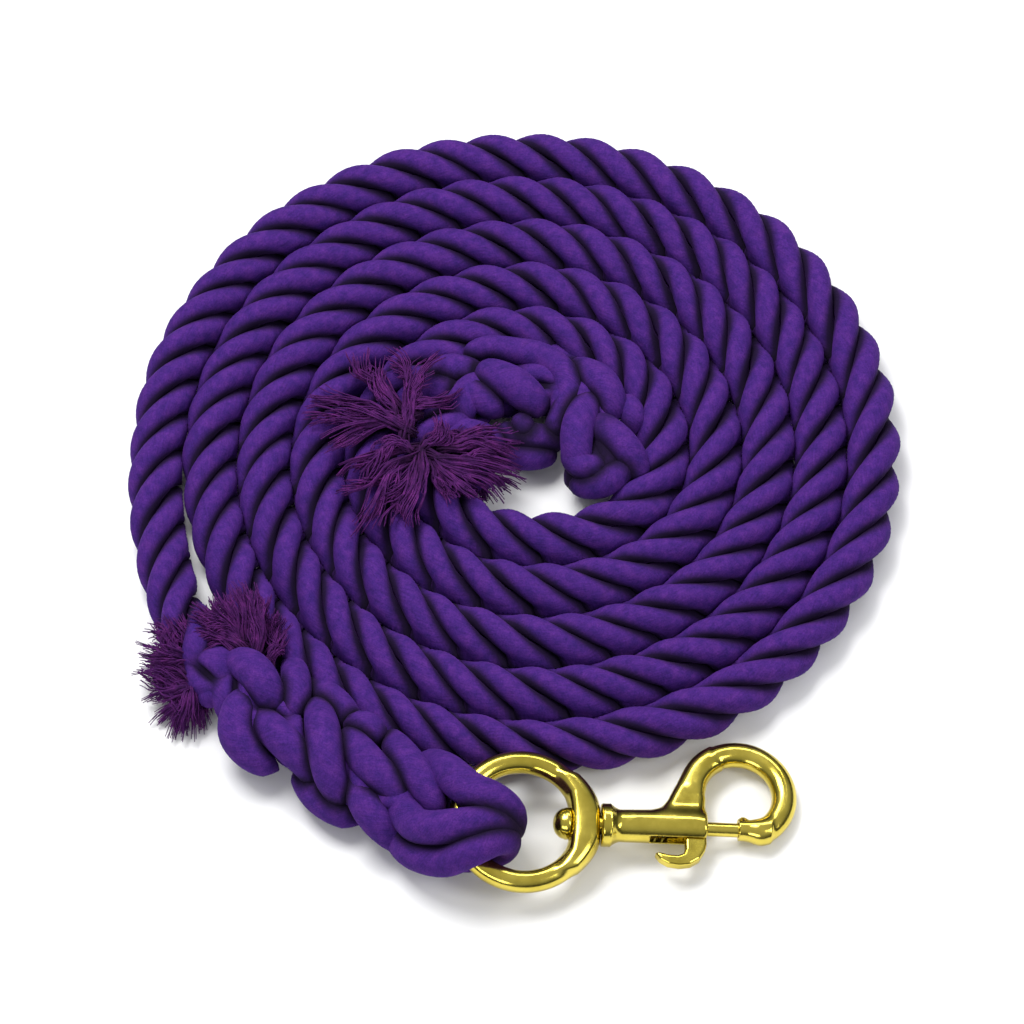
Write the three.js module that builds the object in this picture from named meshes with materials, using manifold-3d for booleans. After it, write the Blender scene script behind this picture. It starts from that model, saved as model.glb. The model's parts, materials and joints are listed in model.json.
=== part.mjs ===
// A horse's lead rope, coiled flat on the ground. A laid cotton rope of three strands ends at one
// side in an eye splice round the swivel eye of a brass bolt snap, and at the other in a back
// splice with a crown knot. All six strand ends are left frayed.
//
// Millimetres, +Z up, ground at z = 0. The rope is laid out round the middle of its coil, and the
// whole is then moved so that the origin is the middle of its footprint, on the ground.
// In the coil, turns are counted from its left side (-X), clockwise as seen from above.

import * as THREE from 'three';
import { mergeVertices } from 'three/addons/utils/BufferGeometryUtils.js';
import Module from 'manifold-3d';

const wasm = await Module();
wasm.setup();

// ---- Driving dimensions -------------------------------------------------------------------------

const gap = 0.3; // between pieces that touch
const degree = Math.PI / 180;

const rope = {
  diameter: 19, // 3/4 in rope
};

const coil = {
  outerRadius: 135.9, // middle of the rope at the left of the outermost turn
  pitch: 19.6, // from turn to turn
  turns: 5.1, // until the back splice
  evenTurn: 1.2, // the turn that lies as a plain spiral
  lean: [0, 0.3, 0.4, -2.0], // extra radius for each further turn, at left, back, right and front
  rimRound: 8, // rounding of the coil's rims
};

const eyeSplice = {
  width: 29.6,
  height: 27,
};

const backSplice = {
  width: 27.4,
  height: 26,
};

const crown = {
  radius: 13.4,
  halfLength: 7.5,
  rear: [22, 0], // where its flat rear face meets the back splice
  heading: -95 * degree,
  profile: [[-1, 0.72], [-0.5, 0.95], [0, 1], [0.5, 0.9], [1, 0.55]], // shares of half length and radius
};

const bight = {
  thickness: 9.6, // the rope is squeezed flat where it goes round the bar of the swivel eye
  width: 20,
  room: 2.8, // above the bar, for the ring's round sides as it tips up
};

const snapPlace = {
  bar: new THREE.Vector3(-24.508, -156.07, 17.926), // middle of the eye's bar, in the rope's bight
  pitch: 6.5 * degree, // the hook's end lies on the ground and the eye is held up by the rope
  yaw: 1 * degree,
  eyeRoll: 10 * degree, // the eye leans back on the coil
};

const eye = {
  radius: 22.2, // of the bar's middle line
  bar: 8,
  hubLength: 10.4,
  hubHalfWidth: 17.5,
  hubHeight: 11.4,
  hubRound: 2.4,
  hubFlat: 0.7, // share of its half width over which each of its two ends is flat
  hubRear: 2.6, // how far its shoulders run back along the ring
  hubSlope: 5, // how far its front corners slope back
};

const pin = {
  diameter: 6.6,
  headRadius: 5.7,
  headHeight: 5.8,
  headRim: 1.8, // straight rim under the dome
  seat: 4.2, // how far it reaches into the body
};

const body = {
  barrelDiameter: 11.6,
  collarDiameter: 15.4,
  collarLength: 3.4,
  collarTaper: 2.6,
  chamfer: 0.8,
  front: 43, // from the middle of the hub to the front face
};

const hook = {
  ahead: 12, // its middle, from the barrel's front face
  aside: 14, // its middle, from the plunger's middle line
  innerRadius: 12,
  bar: 9,
  thickness: 8.6,
  round: 2.6,
  opening: 11.5, // from the barrel's front face to the nose, closed by the plunger
  noseWall: 0.9, // beside the plunger
  socketDepth: 1.2,
  flareAngle: 152 * degree, // where the straight edge of the web meets the hook's outer arc
  flareEdge: 10.5, // length of that straight edge
  flareCurve: 4, // how far behind its foot the web curves down to the barrel
  flareRear: 18,
};

const plunger = {
  diameter: 5,
  headLength: 3,
  headSeat: 2.4, // from the front of its head to the lever's neck
  endChamfer: 0.5,
  travel: 12,
};

const lever = {
  thickness: 4.4,
  neckLength: 7.8,
  reach: 15.8, // from the plunger's middle line to the outside of the tongue
  tongueTip: 18.5, // from the body's front face back to the tip
  tongueThickness: 4.2,
  innerBend: 3, // where the neck turns into the tongue
  tipThinning: 0.6,
  tipCurve: 9, // length over which the tongue's outside curves in to its tip
  frontCurve: 4.5, // from the plunger down to where the tongue's front starts to curve
  edgeRound: 0.5,
  pegDiameter: 2.4,
  pegLength: 1.7,
};

const spring = {
  wire: 0.8,
  turns: 7,
};

const tuft = {
  height: 6,
};

// ---- Materials ----------------------------------------------------------------------------------

function finish(color, roughness, metalness) {
  return () => new THREE.MeshStandardMaterial({ color, roughness, metalness });
}

const cotton = finish(0x4b2a86, 0.95, 0);
const frayedCotton = finish(0x5a1f63, 1, 0);
const brass = finish(0xb39b3c, 0.22, 1);
const springSteel = finish(0x8f8f8a, 0.4, 1);

// ---- Helpers ------------------------------------------------------------------------------------

function addPiece(group, name, geometry, material) {
  const piece = new THREE.Mesh(geometry, material());
  piece.name = name;
  group.add(piece);
  return piece;
}

function solidOf(geometry) {
  const bare = geometry.clone();
  bare.deleteAttribute('normal');
  bare.deleteAttribute('uv');
  const merged = mergeVertices(bare, 1e-4);
  return new wasm.Manifold(new wasm.Mesh({
    numProp: 3,
    vertProperties: new Float32Array(merged.attributes.position.array),
    triVerts: new Uint32Array(merged.index.array),
  }));
}

function geometryOf(solid) {
  const mesh = solid.getMesh();
  const geometry = new THREE.BufferGeometry();
  geometry.setAttribute('position', new THREE.BufferAttribute(mesh.vertProperties.slice(), 3));
  geometry.setIndex(new THREE.BufferAttribute(mesh.triVerts.slice(), 1));
  geometry.computeVertexNormals();
  return geometry;
}

// A body turned about the X axis from [position along X, radius] pairs.
function turned(profile, segments = 32) {
  const points = profile.map(([along, radius]) => new THREE.Vector2(radius, along));
  return new THREE.LatheGeometry(points, segments).rotateZ(-Math.PI / 2);
}

function rod(from, to, radius, segments = 24) {
  return turned([[from, 0], [from, radius], [to, radius], [to, 0]], segments);
}

// An outline in XY, made as thick as stated about z = 0, with rounded edges.
function plate(shape, thickness, round, curveSegments = 20) {
  return new THREE.ExtrudeGeometry(shape, {
    depth: thickness - 2 * round,
    bevelThickness: round,
    bevelSize: round,
    bevelOffset: -round,
    bevelSegments: 3,
    curveSegments,
  }).translate(0, 0, round - thickness / 2);
}

// A section swept along points, with its height up and its width across.
function swept(points, height, width, sides, steps) {
  const section = new THREE.Shape();
  section.absellipse(0, 0, height / 2, width / 2, 0, 2 * Math.PI);
  return new THREE.ExtrudeGeometry(section, {
    steps,
    curveSegments: sides / 2,
    extrudePath: new THREE.CatmullRomCurve3(points),
  });
}

function flatRoute(places, height) {
  return places.map(([x, y]) => new THREE.Vector3(x, y, height));
}

// ---- The rope's coil ----------------------------------------------------------------------------

function leanAt(turn) {
  const quarter = 4 * (turn - Math.floor(turn));
  const side = Math.floor(quarter);
  const ease = (1 - Math.cos(Math.PI * (quarter - side))) / 2;
  return THREE.MathUtils.lerp(coil.lean[side], coil.lean[(side + 1) % 4], ease);
}

function coilPoint(turn, outwards = 0) {
  const plain = coil.outerRadius - coil.pitch * turn;
  const radius = plain + leanAt(turn) * (turn - coil.evenTurn) + outwards;
  const angle = 2 * Math.PI * turn;
  return new THREE.Vector2(-radius * Math.cos(angle), radius * Math.sin(angle));
}

// One turn of the coil's edge, which ends with a step as wide as the rope.
function coilEdge(fromTurn, outwards, count) {
  const edge = [];
  for (let i = 0; i <= count; i += 1) {
    edge.push(coilPoint(fromTurn + i / count, outwards));
  }
  return edge;
}

function coilSolid() {
  const outline = new THREE.Shape(coilEdge(0, rope.diameter / 2, 48));
  const hole = coilEdge(coil.turns - 1, -rope.diameter / 2, 32).reverse();
  outline.holes.push(new THREE.Path(hole));
  return plate(outline, rope.diameter, coil.rimRound).translate(0, 0, rope.diameter / 2);
}

const model = new THREE.Group();
addPiece(model, 'rope_coil', coilSolid(), cotton);

// ---- The rope between the coil and the snap -----------------------------------------------------

const leadRoute = [
  [-135.9, -2 * gap], [-135.8, -14], [-134.4, -30], [-131.8, -46], [-127.6, -62], [-120.8, -77.4],
];
addPiece(
  model,
  'rope_lead',
  swept(flatRoute(leadRoute, rope.diameter / 2), rope.diameter, rope.diameter, 10, 9),
  cotton,
);

const eyeSpliceRoute = [
  [-120.4, -78.4], [-112.2, -93], [-100, -106.6], [-85, -118.6],
  [-70.5, -130.5], [-59, -139.6], [-47.8, -147.6],
];
addPiece(
  model,
  'eye_splice',
  swept(flatRoute(eyeSpliceRoute, eyeSplice.height / 2), eyeSplice.height, eyeSplice.width, 12, 12),
  cotton,
);

// The bight goes under the bar of the swivel eye, up through the eye, and back over the bar.
const bightLow = bight.thickness / 2;
const bightHigh = snapPlace.bar.z + eye.bar / 2 + bight.room + bight.thickness / 2;
const bightRoute = [
  [-44.6, -152.8, bightLow + 0.6], [-36, -155.4, bightLow + 0.3], [-24.5, -157.6, bightLow + 0.2],
  [-14.5, -158.2, bightLow + 2.4], [-8.4, -158.2, bightLow + 9], [-8.2, -158, bightHigh - 7.6],
  [-13.2, -157.6, bightHigh - 1.4], [-24.5, -156.4, bightHigh], [-36, -152.4, bightHigh - 2.8],
  [-43.4, -147.8, bightHigh - 6.4],
].map((place) => new THREE.Vector3(...place));
addPiece(model, 'eye_bight', swept(bightRoute, bight.thickness, bight.width, 12, 26), cotton);

// ---- The rope's other end -----------------------------------------------------------------------

const backSpliceRoute = [
  [-24, 19.8], [-18.6, 24.6], [-10, 27.6], [0, 28.2], [12.8, 23.4], [21.2, 13.2], [23, 3],
];
addPiece(
  model,
  'back_splice',
  swept(flatRoute(backSpliceRoute, backSplice.height / 2), backSplice.height, backSplice.width, 12, 14),
  cotton,
);

function crownSolid() {
  const half = crown.halfLength;
  const side = crown.profile.map(([along, across]) => [along * half, across * crown.radius]);
  return turned([[-half, 0], ...side, [half, 0]], 16);
}

const crownKnot = addPiece(model, 'crown_knot', crownSolid(), cotton);
crownKnot.position.set(crown.rear[0], crown.rear[1] - crown.halfLength, crown.radius);
crownKnot.rotation.z = crown.heading;

// ---- The frayed ends of the three strands, at each splice ---------------------------------------

function tuftSolid(radius, height) {
  const points = [[0, 0], [0.75, 0], [1, 0.25], [0.8, 0.7], [0.4, 1], [0, 1]]
    .map(([across, up]) => new THREE.Vector2(across * radius, up * height));
  return new THREE.LatheGeometry(points, 12).rotateX(Math.PI / 2);
}

const onRope = rope.diameter + gap;
const eyeEnds = [[-134.6, -93.6, gap, 8], [-107.4, -61.4, onRope, 7], [-91.5, -76, onRope, 7.5]];
const backEnds = [[-50, 15, onRope, 13], [-51, -17, onRope, 13], [-23, -9, onRope, 11]];
for (const [splice, ends] of [['eye_splice', eyeEnds], ['back_splice', backEnds]]) {
  ends.forEach(([x, y, z, radius], index) => {
    const end = addPiece(model, `${splice}_end_${index + 1}`, tuftSolid(radius, tuft.height), frayedCotton);
    end.position.set(x, y, z);
  });
}

// ---- The bolt snap: X runs from the swivel towards the hook, which opens in the XY plane ---------

const snap = new THREE.Group();
snap.rotation.set(0, snapPlace.pitch, snapPlace.yaw, 'ZYX');
const barToHub = new THREE.Vector3(2 * eye.radius, 0, 0).applyEuler(snap.rotation);
snap.position.addVectors(snapPlace.bar, barToHub);
model.add(snap);

const bore = pin.diameter / 2 + gap; // one bore takes the pin, the spring and the plunger's head
const rodBore = plunger.diameter / 2 + gap;
const hubFace = eye.hubLength / 2;
const bodyRear = hubFace + gap;
const pinEnd = bodyRear + pin.seat;
const neckRear = body.front - lever.neckLength;
const headFront = neckRear - plunger.headSeat;
const headRear = headFront - plunger.headLength;
const noseTip = body.front + hook.opening;
const plungerEnd = noseTip + hook.socketDepth - gap;

// The swivel eye: a round bar bent to a ring and thickened to a flat-sided hub, which is bored.
function swivelEyeSolid() {
  const ring = new THREE.TorusGeometry(eye.radius, eye.bar / 2, 12, 44).translate(-eye.radius, 0, 0);
  const half = eye.hubHalfWidth;
  const flat = half * eye.hubFlat;
  const hubShape = new THREE.Shape();
  hubShape.moveTo(-hubFace, -flat);
  hubShape.lineTo(-hubFace, flat);
  hubShape.lineTo(-hubFace - eye.hubRear, half);
  hubShape.lineTo(hubFace - eye.hubSlope, half);
  hubShape.lineTo(hubFace, flat);
  hubShape.lineTo(hubFace, -flat);
  hubShape.lineTo(hubFace - eye.hubSlope, -half);
  hubShape.lineTo(-hubFace - eye.hubRear, -half);
  const hub = plate(hubShape, eye.hubHeight, eye.hubRound);
  const hole = rod(-2 * hubFace, 2 * hubFace, bore);
  return geometryOf(solidOf(ring).add(solidOf(hub)).subtract(solidOf(hole)));
}

const swivelEye = addPiece(snap, 'swivel_eye', swivelEyeSolid(), brass);
swivelEye.rotation.x = snapPlace.eyeRoll;

// The swivel pin: its domed head is inside the eye, and its shank is fixed in the snap's body.
function pinSolid() {
  const headBase = -hubFace - gap;
  const dome = [];
  for (let i = 0; i <= 4; i += 1) {
    const angle = (i / 4) * (Math.PI / 2);
    const rise = pin.headRim + (pin.headHeight - pin.headRim) * Math.cos(angle);
    dome.push([headBase - rise, pin.headRadius * Math.sin(angle)]);
  }
  return turned([
    ...dome,
    [headBase, pin.headRadius], [headBase, pin.diameter / 2], [pinEnd, pin.diameter / 2], [pinEnd, 0],
  ], 24);
}

addPiece(snap, 'swivel_pin', pinSolid(), brass);

// The snap's body: barrel, web and hook are one casting, drilled from the rear and slotted.
function hookShape() {
  const { innerRadius, flareAngle, flareRear } = hook;
  const centre = new THREE.Vector2(body.front + hook.ahead, hook.aside);
  const noseHalfWidth = plunger.diameter / 2 + hook.noseWall;
  const outerRadius = innerRadius + hook.bar;
  const outerEnd = Math.asin((-noseHalfWidth - centre.y) / outerRadius);
  const innerStart = Math.asin((noseHalfWidth - centre.y) / innerRadius);
  const flare = new THREE.Vector2(Math.cos(flareAngle), Math.sin(flareAngle));
  const flareTop = flare.clone().multiplyScalar(outerRadius).add(centre);
  const along = new THREE.Vector2(-flare.y, flare.x);
  const flareFoot = flareTop.clone().addScaledVector(along, hook.flareEdge);
  const inBarrel = -body.barrelDiameter / 4; // the web's foot is sunk in the barrel
  const outline = new THREE.Shape();
  outline.moveTo(flareRear, inBarrel);
  outline.lineTo(flareRear, body.barrelDiameter / 2 - body.chamfer);
  outline.quadraticCurveTo(flareFoot.x - hook.flareCurve, body.barrelDiameter / 2, flareFoot.x, flareFoot.y);
  outline.lineTo(flareTop.x, flareTop.y);
  outline.absarc(centre.x, centre.y, outerRadius, flareAngle, outerEnd, true);
  outline.lineTo(noseTip, -noseHalfWidth);
  outline.lineTo(noseTip, noseHalfWidth);
  outline.absarc(centre.x, centre.y, innerRadius, innerStart, Math.PI, false);
  outline.lineTo(body.front, inBarrel);
  return outline;
}

function bodySolid() {
  const collar = body.collarDiameter / 2;
  const barrel = body.barrelDiameter / 2;
  const { chamfer, collarLength, collarTaper, front } = body;
  const turnedPart = turned([
    [bodyRear, 0], [bodyRear, collar - chamfer], [bodyRear + chamfer, collar],
    [bodyRear + collarLength, collar], [bodyRear + collarLength + collarTaper, barrel],
    [front - chamfer, barrel], [front, barrel - chamfer], [front, 0],
  ]);
  const slotWidth = lever.thickness + 2 * gap;
  const slotRear = neckRear - plunger.travel - gap;
  const slotLength = front + 1 - slotRear;
  const slot = new THREE.BoxGeometry(slotLength, barrel + 1, slotWidth)
    .translate(slotRear + slotLength / 2, -(barrel + 1) / 2, 0);
  const boreFront = headFront + gap;
  return geometryOf(
    solidOf(turnedPart)
      .add(solidOf(plate(hookShape(), hook.thickness, hook.round, 28)))
      .subtract(solidOf(rod(bodyRear - 1, boreFront, bore)))
      .subtract(solidOf(rod(boreFront - 1, noseTip + hook.socketDepth, rodBore)))
      .subtract(solidOf(slot)),
  );
}

addPiece(snap, 'snap_body', bodySolid(), brass);

// The plunger: a rod with a head that the spring pushes on, drilled for the lever's peg.
const pegPlace = body.front - lever.neckLength / 2;

function plungerSolid() {
  const head = bore - gap;
  const shaft = plunger.diameter / 2;
  const blank = turned([
    [headRear, 0], [headRear, head], [headFront, head], [headFront, shaft],
    [plungerEnd - plunger.endChamfer, shaft], [plungerEnd, shaft - plunger.endChamfer], [plungerEnd, 0],
  ], 24);
  const hole = new THREE.CylinderGeometry(lever.pegDiameter / 2 + gap, lever.pegDiameter / 2 + gap, shaft, 16)
    .translate(pegPlace, -shaft + lever.pegLength - shaft / 2, 0);
  return geometryOf(solidOf(blank).subtract(solidOf(hole)));
}

addPiece(snap, 'plunger', plungerSolid(), brass);

// The thumb lever: its neck comes out through the slot and its tongue curls back to a tip.
function leverSolid() {
  const neckTop = -plunger.diameter / 2 - gap;
  const tongueInside = -lever.reach + lever.tongueThickness;
  const tip = body.front - lever.tongueTip;
  const outline = new THREE.Shape();
  outline.moveTo(neckRear, neckTop);
  outline.lineTo(neckRear, tongueInside + lever.innerBend);
  outline.quadraticCurveTo(neckRear, tongueInside, neckRear - lever.innerBend, tongueInside);
  outline.lineTo(tip, tongueInside - lever.tipThinning);
  outline.quadraticCurveTo(tip + lever.tipCurve / 3, -lever.reach, tip + lever.tipCurve, -lever.reach);
  outline.quadraticCurveTo(body.front, -lever.reach, body.front, neckTop - lever.frontCurve);
  outline.lineTo(body.front, neckTop);
  const tongue = plate(outline, lever.thickness, lever.edgeRound, 8);
  const pegRadius = lever.pegDiameter / 2;
  const peg = new THREE.CylinderGeometry(pegRadius, pegRadius, lever.pegLength + 1, 16)
    .translate(pegPlace, neckTop + (lever.pegLength - 1) / 2, 0);
  return geometryOf(solidOf(tongue).add(solidOf(peg)));
}

addPiece(snap, 'thumb_lever', leverSolid(), brass);

// The spring is pressed between the end of the pin and the plunger's head.
function springSolid() {
  const radius = bore - gap - spring.wire / 2;
  const from = pinEnd + gap + spring.wire / 2;
  const to = headRear - gap - spring.wire / 2;
  class Helix extends THREE.Curve {
    getPoint(share, target = new THREE.Vector3()) {
      const angle = 2 * Math.PI * spring.turns * share;
      return target.set(from + (to - from) * share, radius * Math.cos(angle), radius * Math.sin(angle));
    }
  }
  const wire = new THREE.Shape();
  wire.absarc(0, 0, spring.wire / 2, 0, 2 * Math.PI);
  return new THREE.ExtrudeGeometry(wire, {
    steps: 12 * spring.turns,
    curveSegments: 3,
    extrudePath: new Helix(),
  });
}

addPiece(snap, 'plunger_spring', springSolid(), springSteel);

// ---- The whole, set on the ground over its origin -----------------------------------------------

model.updateMatrixWorld(true);
const box = new THREE.Box3().setFromObject(model, true);
const middle = box.getCenter(new THREE.Vector3());
model.position.set(-middle.x, -middle.y, -box.min.z);
model.updateMatrixWorld(true);

export default model;
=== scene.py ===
import json
import math

import bpy
import numpy as np
from mathutils import Matrix, Vector


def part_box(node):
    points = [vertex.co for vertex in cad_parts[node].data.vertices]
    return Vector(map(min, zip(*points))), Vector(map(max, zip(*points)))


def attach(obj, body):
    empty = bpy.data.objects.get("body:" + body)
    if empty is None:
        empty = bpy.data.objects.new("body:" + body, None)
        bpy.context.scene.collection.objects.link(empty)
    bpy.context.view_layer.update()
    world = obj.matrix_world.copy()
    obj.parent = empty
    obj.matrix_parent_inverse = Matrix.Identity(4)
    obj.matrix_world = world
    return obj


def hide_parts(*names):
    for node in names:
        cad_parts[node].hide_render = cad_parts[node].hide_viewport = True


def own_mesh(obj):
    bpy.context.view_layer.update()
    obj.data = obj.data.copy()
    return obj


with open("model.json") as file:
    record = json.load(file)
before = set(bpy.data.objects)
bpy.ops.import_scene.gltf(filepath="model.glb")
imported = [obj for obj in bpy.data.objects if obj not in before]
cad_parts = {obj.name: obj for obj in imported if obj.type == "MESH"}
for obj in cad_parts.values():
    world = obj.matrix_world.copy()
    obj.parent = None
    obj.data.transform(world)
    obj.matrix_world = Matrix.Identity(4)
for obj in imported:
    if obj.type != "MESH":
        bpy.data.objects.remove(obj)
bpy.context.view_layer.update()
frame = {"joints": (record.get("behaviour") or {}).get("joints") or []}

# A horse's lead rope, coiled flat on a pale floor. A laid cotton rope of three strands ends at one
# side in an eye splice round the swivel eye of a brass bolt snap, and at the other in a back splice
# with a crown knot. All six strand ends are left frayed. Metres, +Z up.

mm = 0.001  # small shapes are given in millimetres


# ---- Camera ----------------------------------------------------------
# A long lens from the snap's side, high above the floor, so that the coil shows almost as from the
# top and still has its depth.

def add_object(name, data):
    added = bpy.data.objects.new(name, data)
    bpy.context.scene.collection.objects.link(added)
    return added


camera_distance = 2.5
camera_elevation = math.radians(58.5)
shown_width = 0.3717  # at the middle of the coil
camera_target = Vector((-0.0011, -0.0034, 0.0095))
camera_data = bpy.data.cameras.new("camera")
camera_data.sensor_width = 36
camera_data.lens = camera_data.sensor_width * camera_distance / shown_width
camera = add_object("camera", camera_data)
back = Vector((0, -math.cos(camera_elevation), math.sin(camera_elevation)))
camera.location = camera_target + back * camera_distance
camera.rotation_euler = (math.pi / 2 - camera_elevation, 0, 0)
bpy.context.scene.camera = camera


# ---- The rope --------------------------------------------------------
# Three plump strands of purple cotton, laid right-handed and pressed against each other. One piece
# from the snap to the crown knot: through both splices its strands open up for those tucked in.

rope_diameter = 0.019
strand_count = 3
strand_offset = 0.0047  # from the rope's axis to a strand's
strand_radius = 0.0054  # a little more than its share, as soft strands bulge between turns
# A strand's whole turn round the rope takes this length, at these distances from the snap.
lay_at = (0, 0.20, 0.40, 0.50, 0.75, 0.85, 3.2)
lay_length = (0.052, 0.049, 0.054, 0.060, 0.060, 0.051, 0.051)
lay_step = 0.001  # the lay is added up in steps of this length
ring_step = 0.0016
ring_sides = 20
line_parts = 24  # straight parts between two given points, before they are evened out
floor_gap = 0.0003  # cotton is pressed flat this far above the floor

coil_radius = 0.1359
coil_pitch = 0.0196
coil_turns = 5.0
coil_places = 24  # places laid out in each turn
coil_even_turn = 1.2  # the turn, counted inwards, that doesn't lean
coil_lean = (0, 0.0003, 0.0004, -0.0020)  # what the pitch loses at left, back, right and front


def smooth(value):
    value = np.clip(value, 0, 1)
    return value * value * (3 - 2 * value)


def lean_at(turn):
    quarter = 4 * (turn - math.floor(turn))
    side = math.floor(quarter)
    ease = (1 - math.cos(math.pi * (quarter - side))) / 2
    return coil_lean[side] + (coil_lean[(side + 1) % 4] - coil_lean[side]) * ease


def coil_place(turn, outwards=0.0):
    radius = coil_radius - coil_pitch * turn + lean_at(turn) * (turn - coil_even_turn) + outwards
    angle = 2 * math.pi * turn
    return -radius * math.cos(angle), radius * math.sin(angle)


# The rope is laid out round the middle of its coil, which lies this far from the frame's origin.
rim = np.array([coil_place(turn, rope_diameter / 2) for turn in np.linspace(0, 1, 193)[:-1]])
coil_low, coil_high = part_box("rope_coil")
coil_middle = np.array([coil_low.x - rim[:, 0].min(), coil_high.y - rim[:, 1].max(), 0])

eye_splice_route = [
    (-0.0345, -0.1555), (-0.0478, -0.1476), (-0.059, -0.1396), (-0.0705, -0.1305), (-0.085, -0.1186),
    (-0.100, -0.1066), (-0.1122, -0.093), (-0.1204, -0.0784),
]
lead_route = [(-0.1276, -0.062), (-0.1318, -0.046), (-0.1344, -0.030), (-0.1358, -0.014)]
back_splice_route = [
    (-0.024, 0.0198), (-0.0186, 0.0246), (-0.010, 0.0276), (0, 0.0282),
    (0.0128, 0.0234), (0.0212, 0.0132), (0.023, 0.003),
]
eye_splice_height = 0.0118
back_splice_height = 0.0118


def smooth_line(points, step):
    """A smooth line through given points, as points a step apart."""
    points = np.asarray(points, float)
    ends = [2 * points[0] - points[1]], [2 * points[-1] - points[-2]]
    points = np.concatenate([ends[0], points, ends[1]])
    fine = []
    for p0, p1, p2, p3 in zip(points, points[1:], points[2:], points[3:]):
        knots = np.cumsum([0] + [np.linalg.norm(b - a) ** 0.5 for a, b in ((p0, p1), (p1, p2), (p2, p3))])
        t = np.linspace(knots[1], knots[2], line_parts, endpoint=False)[:, None]
        t0, t1, t2, t3 = knots
        a1 = (t1 - t) / (t1 - t0) * p0 + (t - t0) / (t1 - t0) * p1
        a2 = (t2 - t) / (t2 - t1) * p1 + (t - t1) / (t2 - t1) * p2
        a3 = (t3 - t) / (t3 - t2) * p2 + (t - t2) / (t3 - t2) * p3
        b1 = (t2 - t) / (t2 - t0) * a1 + (t - t0) / (t2 - t0) * a2
        b2 = (t3 - t) / (t3 - t1) * a2 + (t - t1) / (t3 - t1) * a3
        fine.append((t2 - t) / (t2 - t1) * b1 + (t - t1) / (t2 - t1) * b2)
    fine = np.concatenate(fine + [points[-2][None]])
    along = np.concatenate([[0], np.cumsum(np.linalg.norm(np.diff(fine, axis=0), axis=1))])
    places = np.linspace(0, along[-1], max(2, round(along[-1] / step) + 1))
    return np.stack([np.interp(places, along, fine[:, k]) for k in range(fine.shape[1])], 1)


def unit(vectors):
    return vectors / np.linalg.norm(vectors, axis=-1, keepdims=True)


rope_places = [(x, y, eye_splice_height) for x, y in eye_splice_route]
rope_places += [(x, y, rope_diameter / 2) for x, y in lead_route]
for turn in np.arange(0, coil_turns + 0.01, 1 / coil_places):
    rope_places.append((*coil_place(turn), rope_diameter / 2))
rope_places += [(x, y, back_splice_height) for x, y in back_splice_route]
rope_line = smooth_line(rope_places, ring_step) + coil_middle
rope_along = np.concatenate([[0], np.cumsum(np.linalg.norm(np.diff(rope_line, axis=0), axis=1))])
rope_length = rope_along[-1]
rope_ahead = unit(np.gradient(rope_line, axis=0))
rope_out = unit(np.cross([0, 0, 1], rope_ahead))
rope_up = np.cross(rope_ahead, rope_out)

eye_splice_length = 0.121
back_splice_length = 0.084
opens_over = 0.022  # the length in which a splice swells from the rope's thickness to its own
eye_share = 1 - smooth((rope_along - eye_splice_length + opens_over) / opens_over)
back_share = smooth((rope_along - rope_length + back_splice_length) / opens_over)

# In a splice the rope's own strands and those tucked in pass over and under each other in turn.
# Their crossings are counted from the difference of their two angles round the axis.
eye_tuck_lay = -0.280
back_tuck_lay = -0.230
lay_phase = math.radians(10)
splice_offset = 0.0046  # from the splice's axis to a strand's, halfway between two crossings
splice_swing = 0.0022  # how much farther out or in a strand is at a crossing
own_high, own_wide = 0.0042, 0.0062  # half the thickness of the rope's own strands in a splice
tuck_high, tuck_wide = 0.0042, 0.0064  # and of those tucked in


def own_angle(along):
    fine = np.linspace(0, lay_at[-1], round(lay_at[-1] / lay_step) + 1)
    turns = np.concatenate([[0], np.cumsum(lay_step / np.interp(fine[:-1], lay_at, lay_length))])
    return 2 * math.pi * np.interp(along, fine, turns) + lay_phase


def eye_tuck_angle(along):
    return 2 * math.pi * along / eye_tuck_lay


def back_tuck_angle(along):
    return 2 * math.pi * (along - rope_length) / back_tuck_lay


def swing(along, tuck_angle):
    crossings = strand_count * (own_angle(along) - tuck_angle(along)) / (2 * math.pi)
    return splice_swing * np.cos(math.pi * crossings)


strand_gap = 0.00004  # half the gap between two strands
edge_sharpness = 9.0  # a higher one turns a strand's round side more sharply into its flat ones


def strand_section(around, offset, radius):
    """A strand's section from its own middle: round outside, and flat where it meets the others."""
    wall = offset * math.sin(math.pi / strand_count) - strand_gap
    reaches = [np.full_like(around, radius)]
    for side in (1, -1):
        towards = side * np.sin(around) * math.cos(math.pi / 3) - np.cos(around) * math.sin(math.pi / 3)
        reaches.append(np.where(towards > 0.01, wall / np.maximum(towards, 0.01), 1.0))
    return sum(reach ** -edge_sharpness for reach in reaches) ** (-1 / edge_sharpness)


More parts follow.
